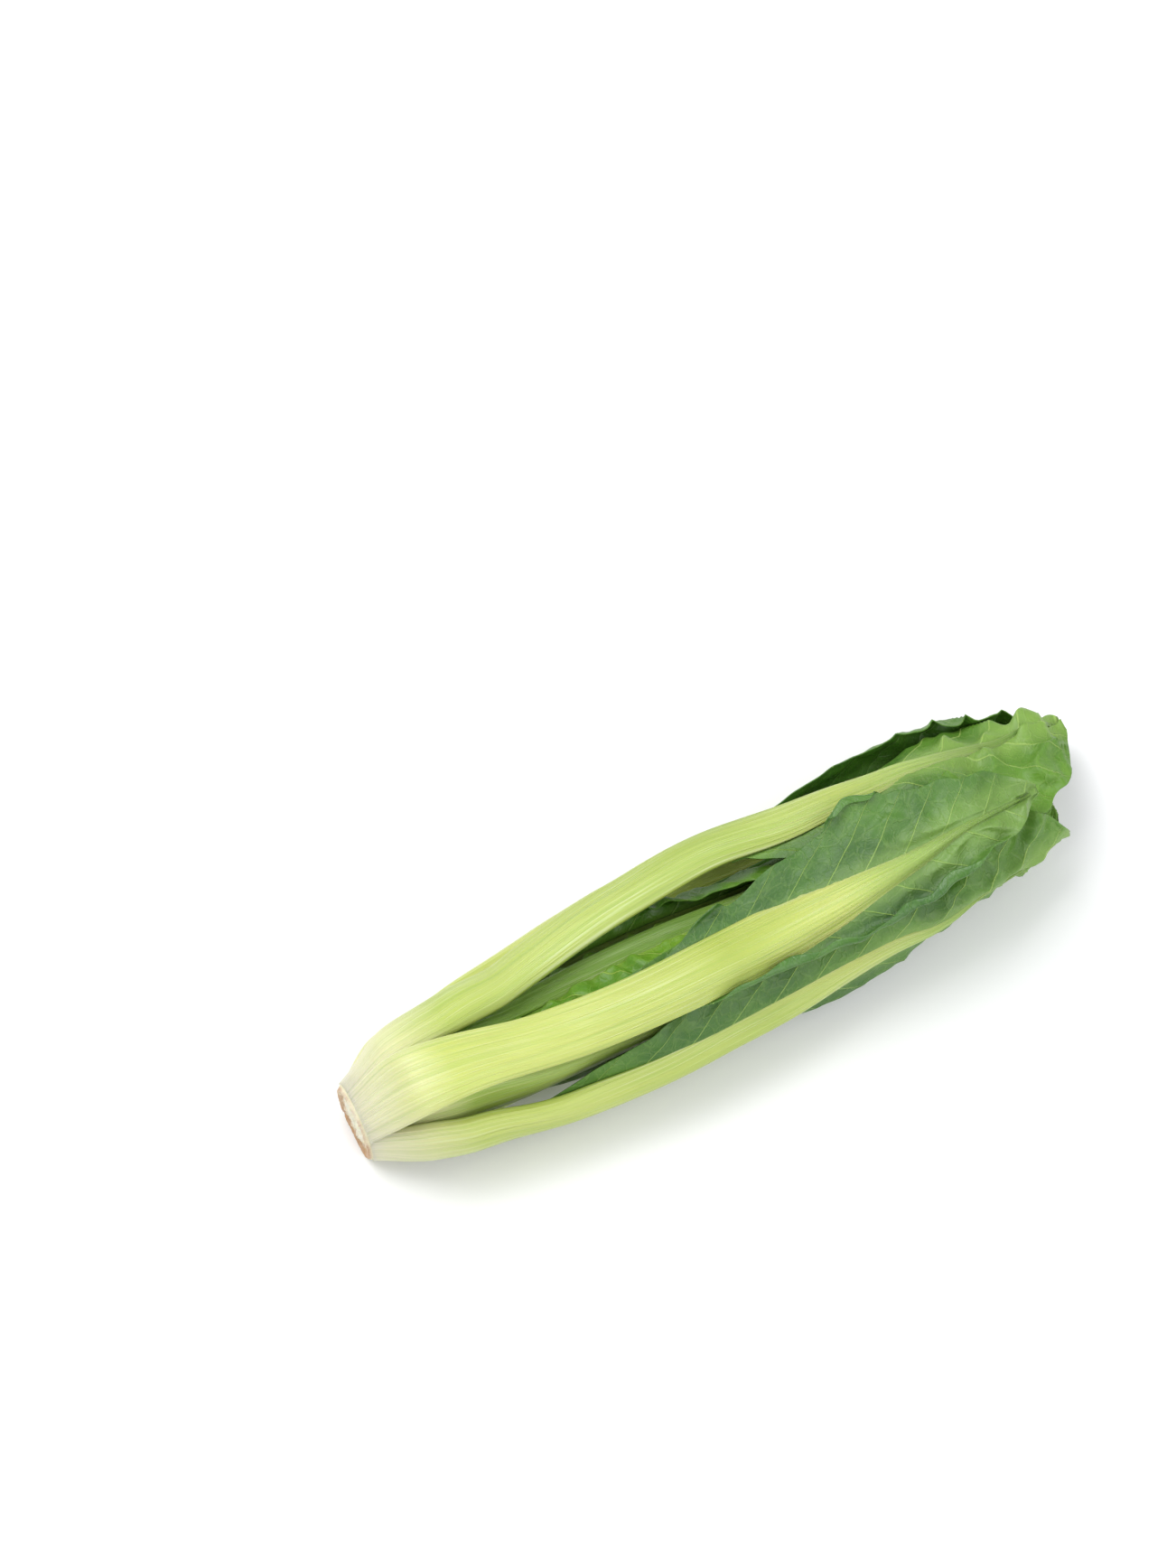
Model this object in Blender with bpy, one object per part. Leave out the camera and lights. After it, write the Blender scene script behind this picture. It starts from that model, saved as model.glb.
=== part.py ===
"""A head of Japanese mustard spinach, trimmed at the root and lying on its side.

The head runs along +X from the cut face of its stem to the leaf tips. Every leaf has an age: leaf 0 is the
oldest and lies outermost, and each leaf is wrapped over all the younger ones. So the place of a leaf follows
from what lies under it: its radius is the radius of the heart plus the thickness of each younger leaf there.
A leaf has two bodies, its stalk, which runs on as the rib, and its blade, which is fixed to the stalk's inner
face. Lengths are in metres and angles in radians. Angle 0 points to -Y and a quarter turn points up.
"""

import math

import bmesh
import bpy
import numpy as np

# The head: two of its leaves are the small pale ones of the heart. The leaves follow each other round the
# stem by a nearly constant turn, and some are pushed aside a little.
HEAD_LENGTH = 0.292
LEAVES = 11
HEART_LEAVES = 2
FIRST_ANGLE = math.radians(72.5)
TURN = math.radians(142.6)
ASIDE = np.radians([0, 0, 9, -7, 0, -22, 0, 18, 4, 0, 6])
HEART_RADIUS = 0.0035

# From the oldest leaf to the youngest: where the leaf ends along the head, and at which share of its own
# length its blade starts
LENGTHS = [0.90, 0.97, 0.93, 1.0, 0.95, 0.91, 0.90, 0.87, 0.84, 0.80, 0.76]
WING_STARTS = [0.35, 0.48, 0.18, 0.52, 0.42, 0.12, 0.20, 0.10, 0.13, 0.12, 0.10]

# The stem base, from its cut face to its growing tip
STEM_LENGTH = 0.040
STEM_RADIUS = 0.0138

# The older leaves, which the younger ones follow in proportion
BLADE_HALF_WIDTH = 0.038
STALK_HALF_WIDTH = 0.0094
STALK_THICKNESS = 0.0068
BLADE_THICKNESS = 0.0009
EDGE_WAVE = 0.0036

# The oldest leaf has a narrower blade with a finer tip that curls up. The three oldest have the half of the
# blade that faces down folded under, to these shares of its width.
OLDEST_BLADE_SHARE = 0.68
OLDEST_TAPER = 0.40
TIP_CURL = 0.008
TUCKS = [0.45, 0.60, 0.45]

# How the head's sides are folded lengthwise, bowed between stem and tips, and fuller towards +Y, and how far
# the leaf ends bend that way
FOLD = 0.05
BOW = 0.0005
BULGE = 0.19
END_BEND = 0.013

# Free space between the leaves
LEAF_GAP = 0.0016
JOINT_GAP = 0.0005

# How deep the undersides are flattened where the head lies on them, and how far the leaf ends stand off
FLAT_SPOT = 0.0004
TIP_LIFT = 0.0050

# Steps round a section, for measuring
ANGLE_STEPS = 360


def smooth(low, high, x):
    """0 below low, 1 above high, and a smooth step between them."""
    t = np.clip((x - low) / (high - low), 0.0, 1.0)
    return t * t * (3.0 - 2.0 * t)


def along(stations, values, x):
    """A smooth curve through values at stations, level at both ends."""
    stations, values = np.asarray(stations), np.asarray(values)
    slope = np.gradient(values, stations)
    slope[[0, -1]] = 0.0
    x = np.clip(x, stations[0], stations[-1])
    i = np.clip(np.searchsorted(stations, x, side="right") - 1, 0, len(stations) - 2)
    span = stations[i + 1] - stations[i]
    t = (x - stations[i]) / span
    return (
        (1 + 2 * t) * (1 - t) ** 2 * values[i]
        + t * (1 - t) ** 2 * span * slope[i]
        + t * t * (3 - 2 * t) * values[i + 1]
        + t * t * (t - 1) * span * slope[i + 1]
    )


# The places along the head of the rows of points. All leaves share them, so that the rows stay apart.
PLACES = [0.003 + 0.0042 * i for i in range(6)] + [0.032, 0.041, 0.051, 0.062, 0.074, 0.086]
PLACES += [0.098 + 0.012 * i for i in range(13)] + [0.252, 0.262, 0.272, 0.282, HEAD_LENGTH]


# The cross-section of the head: round at the stem, broad and low where the leaves lie on the table


def breadth(x, angle):
    even = along([0.0, 0.03, 0.06, 0.09, 0.15, 0.22, 0.30], [1.0, 1.06, 1.20, 1.25, 1.22, 1.14, 1.00], x)
    fuller = BULGE * smooth(0.015, 0.06, x) * (1 - 0.6 * smooth(0.12, 0.20, x))
    return even * (1 - fuller * np.cos(angle))


def height(x):
    return along([0.0, 0.03, 0.08, 0.15, 0.22, 0.30], [1.0, 0.92, 0.70, 0.62, 0.62, 0.60], x)


def rise(angle):
    """The section's height at an angle, from -1 to 1, flatter below than above."""
    flatness = np.where(np.sin(angle) < 0, 0.45, 0.12)
    return np.sin(angle) * (1 + flatness * np.cos(angle) ** 2)


def normal_scale(x, angle):
    """Real thickness for one unit of radius, at an angle of the section at x."""
    a, b = breadth(x, angle), height(x)
    return a * b / np.hypot(a * np.sin(angle), b * np.cos(angle))


def stem_radius(x):
    factor = along([0, 0.004, 0.010, 0.020, 0.030, STEM_LENGTH], [0.97, 1.08, 1.0, 0.62, 0.4, 0.16], x)
    return STEM_RADIUS * factor * (x <= STEM_LENGTH)


def heart_radius(x):
    return HEART_RADIUS + 0.003 * smooth(0.16, 0.29, x)


class Leaf:
    """The sizes of one leaf, from its age."""

    def __init__(self, age):
        share = age / (LEAVES - 1)
        self.age = age
        self.share = share
        self.angle = (FIRST_ANGLE + age * TURN + ASIDE[age]) % (2 * math.pi)
        self.start = PLACES[age // 3]
        self.length = HEAD_LENGTH * LENGTHS[age] - self.start
        self.half_width = BLADE_HALF_WIDTH * (1 - 0.68 * share**1.3) * (OLDEST_BLADE_SHARE if age == 0 else 1)
        self.tuck = TUCKS[age] if age < len(TUCKS) else 1.0
        self.taper = OLDEST_TAPER if age == 0 else 0.0
        self.stalk_half_width = STALK_HALF_WIDTH * (1 - 0.30 * share - 0.35 * share**2)
        self.stalk_thickness = STALK_THICKNESS * (1 - 0.40 * share - 0.25 * share**2)
        self.wing_start = WING_STARTS[age]
        self.edge_wave = EDGE_WAVE * (1 - 0.70 * share)
        self.tip_curl = TIP_CURL if age == 0 else 0.0
        self.bow = BOW * (1 - share) ** 1.5

    def stalk_width_at(self, t):
        factor = along(
            [0, 0.05, 0.1, 0.2, 0.3, 0.5, 0.62, 0.72, 0.8, 0.9, 1.0],
            [1.15, 1.3, 1.25, 1.06, 1.0, 0.96, 0.90, 0.66, 0.36, 0.15, 0.06],
            t,
        )
        slimmer = 1 - 0.6 * self.share**2 * smooth(0.05, 0.3, t)
        return self.stalk_half_width * factor * slimmer

    def stalk_thickness_at(self, t):
        factor = along(
            [0, 0.015, 0.04, 0.08, 0.2, 0.5, 0.65, 0.8, 0.93, 1.0],
            [0.16, 0.45, 0.75, 0.9, 1.0, 0.86, 0.6, 0.34, 0.2, 0.16],
            t,
        )
        return self.stalk_thickness * factor

    def wing_at(self, t):
        """How far the blade reaches from the stalk's middle, from where its wings start to its tip."""
        way = np.clip((t - self.wing_start) / (1 - self.wing_start), 0, 1)
        spread = along(
            [0, 0.05, 0.12, 0.28, 0.42, 0.60, 0.75, 0.88, 0.95, 1.0],
            [0, 0.22, 0.36, 0.62, 0.82, 1.0, 0.96, 0.78, 0.60, 0.35],
            way,
        )
        return self.half_width * spread * (1 - self.taper * smooth(0.7, 1.0, t))

    def notch_at(self, t):
        """Half the width of the notch between the wings, where the stalk lies open."""
        return 0.72 * self.stalk_width_at(t) * (1 - smooth(0.60, 0.75, t))

    def wave_room(self, t, arc):
        """The depth of the band in which the blade's edge waves, at arc lengths from the leaf's middle."""
        to_edge = smooth(0.3, 1.0, arc / (self.wing_at(t) + 0.003))
        past_stalk = smooth(1.0, 2.0, arc / self.stalk_width_at(t))
        lengthwise = smooth(self.wing_start, self.wing_start + 0.35, t) * (1 - 0.6 * smooth(0.84, 1.0, t))
        return self.edge_wave * to_edge * past_stalk * lengthwise

    def wave(self, x, arc):
        """How high the waving edge stands in that band, from 0 to 1, at signed arc lengths."""
        side = np.sign(arc)
        return 0.5 + 0.5 * np.sin(50 * np.abs(arc) + 1.3 * side + 150 * x + 1.7 * self.age)

    def stalk_floor(self, t):
        """How far the stalk's inner face lies above the leaf's bed, which leaves room for the blade."""
        return (BLADE_THICKNESS + JOINT_GAP) * smooth(0.3 * self.wing_start, self.wing_start, t)

    def stalk_height(self, t, across):
        """The stalk's outer face above its inner edge, at shares of its half width."""
        return self.stalk_thickness_at(t) * (0.25 + 0.75 * np.sqrt(np.clip(1 - across**2, 0, 1)))

    def skin(self, x, t, arc):
        """The height of the leaf's outer face above its bed, at signed arc lengths, or 0 beyond its edge."""
        size = np.abs(arc)
        sheet = BLADE_THICKNESS + self.wave_room(t, size) * self.wave(x, arc)
        sheet = np.where(size < self.wing_at(t) * np.where(arc < 0, self.tuck, 1), sheet, 0)
        stalk = self.stalk_floor(t) + self.stalk_height(t, arc / self.stalk_width_at(t))
        return np.where(size < self.stalk_width_at(t), stalk, sheet)

    def lift(self, t, arc, scale):
        """How far the leaf lifts the leaves outside it, at arc lengths from its middle."""
        stalk = (self.stalk_floor(t) + self.stalk_thickness_at(t) + LEAF_GAP) / scale
        lift = stalk * (1 - smooth(0.75, 1.5, arc / self.stalk_width_at(t)))
        wing = self.wing_at(t)
        sheet = BLADE_THICKNESS + LEAF_GAP + self.wave_room(t, arc)
        lift = np.maximum(lift, sheet * (1 - smooth(wing + 0.005, 1.1 * wing + 0.016, arc)))
        return lift * (1 - 0.45 * smooth(1.0, 1.25, t))


def turn_between(angle, other):
    """How far an angle is turned from another, from -pi to pi."""
    return (angle - other + math.pi) % (2 * math.pi) - math.pi


class Section:
    """The head's cross-section at x: the radius under every leaf at all angles."""

    angles = np.linspace(0, 2 * math.pi, ANGLE_STEPS, endpoint=False)

    def __init__(self, leaves, x):
        self.x = x
        self.beds = {}
        self.ways = {}
        scale = normal_scale(x, self.angles)
        radius = max(heart_radius(x), stem_radius(x) + 2 * JOINT_GAP) + 0 * self.angles
        self.skin = radius
        bowed = along([0, 0.02, 0.07, 0.13, 0.19, 0.25, 0.30], [0, 0, 0.8, 1, 0.7, 0.35, 0.5], x)
        for leaf in reversed(leaves):
            t = (x - leaf.start) / leaf.length
            under_stalk = 1 - smooth(0.6, 1.1, np.abs(turn_between(self.angles, leaf.angle)))
            radius = self.bridge(radius, 4)
            radius = radius + under_stalk * (self.bridge(radius, 14) - radius) + leaf.bow * bowed
            self.beds[leaf.age] = radius
            self.ways[leaf.age] = self.way(leaf, radius)
            if t > -0.02:
                arc = self.arc_at(leaf, self.angles)
                if 0 <= t <= 1:
                    skin = leaf.skin(x, t, arc) / scale
                    self.skin = np.where(skin > 0, radius + skin, self.skin)
                radius = radius + leaf.lift(max(t, 0), np.abs(arc), scale) * smooth(-0.02, 0.02, t)
        closed = -self.bridge(-self.bridge(self.skin, 28, 4), 28, 6)
        under = place(x, self.angles[ANGLE_STEPS // 2 :], closed[ANGLE_STEPS // 2 :])
        self.under = under[np.argsort(under[:, 1])]
        self.lowest = self.under[:, 2].min()

    def bridge(self, radius, reach, soft=None):
        """A smooth line over the bumps of a radius: a stiff leaf spans the hollows under it."""
        highest = np.max([np.roll(radius, shift) for shift in range(-reach, reach + 1)], axis=0)
        soft = reach if soft is None else soft
        return np.mean([np.roll(highest, shift) for shift in range(-soft, soft + 1)], axis=0)

    def way(self, leaf, radius):
        """Angles within half a turn of the leaf's middle, and the way along the section to each."""
        angle = leaf.angle + np.linspace(-math.pi, math.pi, ANGLE_STEPS + 1)
        here = np.interp(angle, self.angles, radius, period=2 * math.pi)
        steps = np.linalg.norm(np.diff(place(self.x, angle, here), axis=0), axis=1)
        way = np.concatenate([[0.0], np.cumsum(steps)])
        return angle, way - way[ANGLE_STEPS // 2]

    def girth(self, leaf):
        """The way once round the section, over the leaves under a leaf."""
        way = self.ways[leaf.age][1]
        return way[-1] - way[0]

    def arc_at(self, leaf, angle):
        """Signed arc lengths along a leaf's bed, from its middle to angles."""
        angles, way = self.ways[leaf.age]
        return np.interp(leaf.angle + turn_between(angle, leaf.angle), angles, way)

    def points(self, leaf, arc, thickness):
        """Points at arc lengths from a leaf's middle and a thickness above the leaves under it."""
        angles, way = self.ways[leaf.age]
        angle = np.interp(arc, way, angles)
        bed = np.interp(angle, self.angles, self.beds[leaf.age], period=2 * math.pi)
        return self.settle(place(self.x, angle, bed + thickness / normal_scale(self.x, angle)))

    def settle(self, points):
        """The points after the head has settled on the table: its underside is flat along its middle."""
        above = points[:, 2] - np.interp(points[:, 1], self.under[:, 1], self.under[:, 2])
        hollow = points[:, 2] - above - self.lowest
        middle = 1 - smooth(0.012, 0.034, np.abs(points[:, 1]))
        lengthwise = smooth(0.01, 0.05, self.x) * (1 - 0.8 * smooth(0.20, 0.27, self.x))
        sink = hollow * middle * (1 - smooth(0, 0.032, above)) * lengthwise
        sunk = self.lowest + sink + FLAT_SPOT - TIP_LIFT * smooth(0.15, 0.21, self.x)
        bend = END_BEND * smooth(0.18, 0.31, self.x)
        return points - np.stack([0 * sink, 0 * sink - bend, sunk], axis=-1)


def place(x, angle, radius):
    """The point of the head at x, an angle and a radius. Its sides are folded lengthwise near the tips."""
    radius = radius * (1 + FOLD * smooth(0.15, 0.25, x) * np.sin(4 * angle + 60 * x))
    y = -breadth(x, angle) * radius * np.cos(angle)
    z = height(x) * radius * rise(angle)
    return np.stack([np.full_like(y, x), y, z], axis=-1)


def row_places(start, end):
    """The places of a leaf's rows."""
    return [x for x in PLACES if start - 1e-6 <= x <= end + 1e-6]


def stalk_rings(leaf, section_at):
    """Rings of a stalk: a crescent, hollow towards the heart and ribbed outside."""
    across = np.array([-1, -0.8, -0.42, 0, 0.42, 0.8, 1] if leaf.age < 6 else [-1, -0.65, 0, 0.65, 1])
    inner_across = across[-2:0:-1]
    hollow = 0.14 * (1 - inner_across**2)
    rings = []
    for x in row_places(leaf.start, leaf.start + 0.97 * leaf.length):
        t = (x - leaf.start) / leaf.length
        arc = leaf.stalk_width_at(t) * np.concatenate([across, inner_across])
        inner = leaf.stalk_thickness_at(t) * hollow
        thickness = np.concatenate([leaf.stalk_height(t, across), inner])
        thickness = thickness + leaf.stalk_floor(t) + leaf.tip_curl * smooth(0.75, 1.1, t)
        rings.append(section_at(x).points(leaf, arc, thickness))
    return rings


def blade_rows(leaf, section_at):
    """Rows of inner and outer points of a blade, each in two halves from the notch to the edge."""
    columns = 7 if leaf.age < 6 else 5
    rows = []
    for x in row_places(leaf.start + leaf.wing_start * leaf.length, leaf.start + leaf.length):
        t = (x - leaf.start) / leaf.length
        notch = leaf.notch_at(t)
        reach = min(leaf.wing_at(t), 0.42 * section_at(x).girth(leaf))
        halves = []
        for side in (-1, 1):
            edge = max(reach * (leaf.tuck if side < 0 else 1), 0.9 * leaf.stalk_width_at(t))
            beside = min(leaf.stalk_width_at(t) + 0.0004, 0.5 * (notch + edge))
            arc = side * np.concatenate([[notch], np.linspace(beside, edge, columns)])
            over = leaf.wave_room(t, np.abs(arc)) * leaf.wave(x, arc)
            over = over + leaf.tip_curl * smooth(0.75, 1.1, t)
            inner = section_at(x).points(leaf, arc, over)
            outer = section_at(x).points(leaf, arc, over + BLADE_THICKNESS)
            halves.append(list(zip(inner, outer)))
        rows.append((notch > 1e-6, halves))
    return rows


def material(name, colour, roughness):
    made = bpy.data.materials.new(name)
    made.use_nodes = True
    shader = made.node_tree.nodes["Principled BSDF"]
    shader.inputs["Base Color"].default_value = (*colour, 1.0)
    shader.inputs["Roughness"].default_value = roughness
    shader.inputs["Metallic"].default_value = 0.0
    return made


def add_object(name, bm, finish):
    """An object from a closed mesh, which is flattened where it lies on the table."""
    for vertex in bm.verts:
        vertex.co.z = max(vertex.co.z, 0.0)
    bmesh.ops.triangulate(bm, faces=bm.faces)
    bmesh.ops.recalc_face_normals(bm, faces=bm.faces)
    mesh = bpy.data.meshes.new(name)
    bm.to_mesh(mesh)
    bm.free()
    mesh.materials.append(finish)
    mesh.shade_smooth()
    made = bpy.data.objects.new(name, mesh)
    bpy.context.scene.collection.objects.link(made)
    return made


def loft(rings):
    """Closed rings of points joined into a body, with both ends capped."""
    bm = bmesh.new()
    loops = [[bm.verts.new(point) for point in ring] for ring in rings]
    for first, second in zip(loops, loops[1:]):
        for i in range(len(first)):
            j = (i + 1) % len(first)
            bm.faces.new((first[i], first[j], second[j], second[i]))
    for loop in (loops[0], loops[-1]):
        for i in range(len(loop) // 2):
            bm.faces.new(dict.fromkeys((loop[-i], loop[i], loop[i + 1], loop[-i - 1])))
    return bm


def shell(rows):
    """A blade: an outer sheet split into triangles, an inner sheet split alike, and the edge between them."""
    bm = bmesh.new()
    inner_points = {}
    grids = []
    for open_notch, halves in rows:
        grid = []
        for half in halves:
            verts = [bm.verts.new(outer) for inner, outer in half]
            inner_points.update(zip(verts, [inner for inner, outer in half]))
            grid.append(verts)
        if not open_notch:
            del inner_points[grid[1][0]]
            bm.verts.remove(grid[1][0])
            grid[1][0] = grid[0][0]
        grids.append(grid)
    for first, second in zip(grids, grids[1:]):
        for a, b in zip(first, second):
            for i in range(len(a) - 1):
                bm.faces.new((a[i], a[i + 1], b[i + 1], b[i]))
    bmesh.ops.triangulate(bm, faces=bm.faces)
    outer_faces = list(bm.faces)
    edges = [edge for edge in bm.edges if edge.is_boundary]
    inner = {vert: bm.verts.new(point) for vert, point in inner_points.items()}
    for face in outer_faces:
        bm.faces.new([inner[vert] for vert in reversed(face.verts)])
    for edge in edges:
        a, b = edge.verts
        bm.faces.new((a, b, inner[b], inner[a]))
    return bm


def centre(parts):
    """Moves the parts so that the middle of the underside of their box is at the origin."""
    points = np.array([vertex.co for part in parts for vertex in part.data.vertices])
    middle = 0.5 * (points.min(axis=0) + points.max(axis=0))
    for part in parts:
        part.location = (-middle[0], -middle[1], 0.0)


def main():
    for old in list(bpy.data.objects):
        bpy.data.objects.remove(old)
    leaves = [Leaf(age) for age in range(LEAVES)]
    sections = {}

    def section_at(x):
        if x not in sections:
            sections[x] = Section(leaves, x)
        return sections[x]

    stem_cream = material("stem_cream", (0.85, 0.82, 0.62), 0.5)
    stalk_green = material("stalk_green", (0.62, 0.74, 0.24), 0.35)
    blade_green = material("blade_green", (0.06, 0.22, 0.05), 0.4)
    heart_stalk = material("heart_stalk", (0.80, 0.84, 0.42), 0.35)
    heart_blade = material("heart_blade", (0.34, 0.58, 0.10), 0.4)

    around = np.linspace(0, 2 * math.pi, 20, endpoint=False)
    rings = [
        section_at(x).settle(place(x, around, stem_radius(x) + 0 * around))
        for x in np.linspace(0, STEM_LENGTH, 11)
    ]
    parts = [add_object("stem_base", loft(rings), stem_cream)]
    for leaf in leaves:
        stalk = loft(stalk_rings(leaf, section_at))
        blade = shell(blade_rows(leaf, section_at))
        number = leaf.age + 1
        heart_number = number - (LEAVES - HEART_LEAVES)
        if heart_number > 0:
            parts.append(add_object(f"heart_stalk_{heart_number}", stalk, heart_stalk))
            parts.append(add_object(f"heart_blade_{heart_number}", blade, heart_blade))
        else:
            parts.append(add_object(f"stalk_{number}", stalk, stalk_green))
            parts.append(add_object(f"blade_{number}", blade, blade_green))
    centre(parts)


main()
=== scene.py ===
"""A head of Japanese mustard spinach, trimmed at the root and lying on its side. Sizes are in metres."""
import math

import bmesh
import bpy
import numpy as np
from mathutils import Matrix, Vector, noise


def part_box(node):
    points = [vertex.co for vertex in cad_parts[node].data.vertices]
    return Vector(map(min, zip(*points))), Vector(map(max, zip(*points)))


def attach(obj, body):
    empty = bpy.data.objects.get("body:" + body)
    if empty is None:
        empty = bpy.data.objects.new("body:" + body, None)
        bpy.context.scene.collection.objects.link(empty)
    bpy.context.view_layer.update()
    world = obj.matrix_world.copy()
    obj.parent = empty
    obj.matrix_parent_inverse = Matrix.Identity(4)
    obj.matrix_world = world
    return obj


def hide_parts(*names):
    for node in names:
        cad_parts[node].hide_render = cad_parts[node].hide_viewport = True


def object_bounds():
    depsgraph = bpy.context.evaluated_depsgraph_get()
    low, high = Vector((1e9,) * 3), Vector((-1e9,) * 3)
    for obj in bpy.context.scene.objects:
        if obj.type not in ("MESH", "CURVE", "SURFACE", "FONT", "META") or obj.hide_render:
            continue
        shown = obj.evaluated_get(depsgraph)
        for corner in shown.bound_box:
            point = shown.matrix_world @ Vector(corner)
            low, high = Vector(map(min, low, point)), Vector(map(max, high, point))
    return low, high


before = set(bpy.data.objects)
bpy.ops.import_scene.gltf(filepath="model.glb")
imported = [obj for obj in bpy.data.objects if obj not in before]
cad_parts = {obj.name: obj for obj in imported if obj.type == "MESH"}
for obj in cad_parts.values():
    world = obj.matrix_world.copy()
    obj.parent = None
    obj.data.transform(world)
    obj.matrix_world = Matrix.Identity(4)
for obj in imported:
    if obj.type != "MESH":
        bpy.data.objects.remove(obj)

cad_low, cad_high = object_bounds()
stem_low, stem_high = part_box("stem_base")


# The stem base: a short thick stem of firm pith, cut across just above the root. The leaves grow from it
# in a spiral, the oldest outermost, each wrapped over all the younger ones, so the head's section at any
# place along it also gives the place of every leaf there.
HEAD_LENGTH = cad_high.x - cad_low.x
FOOT = np.array([stem_low.x, 0.5 * (stem_low.y + stem_high.y), 0.0])
STEM_LENGTH = stem_high.x - stem_low.x
STEM_RADIUS = 0.0138
STEM_AROUND = 120
CUT_ROWS = 26
STEM_ROWS = 44
CUT_ROUGHNESS = 0.0010
CUT_HOLLOW = 0.0008
MERGE_DISTANCE = 2e-6
LEAVES = 11
HEART_LEAVES = 2
FIRST_ANGLE = math.radians(72.5)
TURN = math.radians(142.6)
ASIDE = np.radians([0, 0, 9, -7, 0, -22, 0, 18, 4, 0, 6])
LENGTHS = [0.90, 0.97, 0.93, 1.0, 0.95, 0.91, 0.90, 0.87, 0.84, 0.80, 0.76]
WING_STARTS = [0.35, 0.48, 0.18, 0.52, 0.42, 0.12, 0.20, 0.10, 0.13, 0.12, 0.10]
TUCKS = [0.45, 0.60, 0.45] + [1.0] * 8
FIRST_PLACE = 0.003
PLACE_STEP = 0.0042
LEAVES_AT_A_PLACE = 3
HEART_RADIUS = 0.0035
HEART_SPREAD = 0.003
BLADE_HALF_WIDTH = 0.038
STALK_HALF_WIDTH = 0.0094
STALK_THICKNESS = 0.0068
EDGE_WAVE = 0.0036
OLDEST_BLADE_SHARE = 0.68
OLDEST_TAPER = 0.40
TIP_CURL = 0.008
SOLID_BLADE = 0.0009
LEAF_GAP = 0.0016
JOINT_GAP = 0.0005
FOLD = 0.05
BOW = 0.0005
BULGE = 0.19
FLAT_SPOT = 0.0004
TIP_LIFT = 0.0050
END_BEND = 0.013
BOX_MARGIN = 0.0005
BOX_BAND = 0.0015
ANGLE_STEPS = 360
ROW_STEP = 0.00125


def smooth(low, high, x):
    """0 below low, 1 above high, and a smooth step between them."""
    t = np.clip((x - low) / (high - low), 0.0, 1.0)
    return t * t * (3.0 - 2.0 * t)


def along(stations, values, x):
    """A smooth curve through values at stations, level at both ends."""
    stations, values = np.asarray(stations), np.asarray(values)
    slope = np.gradient(values, stations)
    slope[[0, -1]] = 0.0
    x = np.clip(x, stations[0], stations[-1])
    i = np.clip(np.searchsorted(stations, x, side="right") - 1, 0, len(stations) - 2)
    span = stations[i + 1] - stations[i]
    t = (x - stations[i]) / span
    return (
        (1 + 2 * t) * (1 - t) ** 2 * values[i]
        + t * (1 - t) ** 2 * span * slope[i]
        + t * t * (3 - 2 * t) * values[i + 1]
        + t * t * (t - 1) * span * slope[i + 1]
    )


def breadth(x, angle):
    """How wide the section is for its radius at an angle: it is fuller towards positive y."""
    even = along([0.0, 0.03, 0.06, 0.09, 0.15, 0.22, 0.30], [1.0, 1.06, 1.20, 1.25, 1.22, 1.14, 1.00], x)
    fuller = BULGE * smooth(0.015, 0.06, x) * (1 - 0.6 * smooth(0.12, 0.20, x))
    return even * (1 - fuller * np.cos(angle))


def height(x):
    """How high the section is for its radius."""
    return along([0.0, 0.03, 0.08, 0.15, 0.22, 0.30], [1.0, 0.92, 0.70, 0.62, 0.62, 0.60], x)


def rise(angle):
    """The section's height at an angle, from -1 to 1, flatter below than above."""
    flatness = np.where(np.sin(angle) < 0, 0.45, 0.12)
    return np.sin(angle) * (1 + flatness * np.cos(angle) ** 2)


def normal_scale(x, angle):
    """Real thickness for one unit of radius, at an angle of the section at x."""
    a, b = breadth(x, angle), height(x)
    return a * b / np.hypot(a * np.sin(angle), b * np.cos(angle))


def place(x, angle, radius):
    """The point of the head at x, an angle and a radius. Its sides are folded lengthwise near the tips."""
    radius = radius * (1 + FOLD * smooth(0.15, 0.25, x) * np.sin(4 * angle + 60 * x))
    y = -breadth(x, angle) * radius * np.cos(angle)
    z = height(x) * radius * rise(angle)
    return np.stack([np.full_like(y, x), y, z], axis=-1)


def stem_radius(x):
    factor = along([0, 0.004, 0.010, 0.020, 0.030, 0.040], [0.97, 1.08, 1.0, 0.62, 0.4, 0.16], x)
    return STEM_RADIUS * factor * (x <= STEM_LENGTH)


def heart_radius(x):
    return HEART_RADIUS + HEART_SPREAD * smooth(0.16, 0.29, x)


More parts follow.
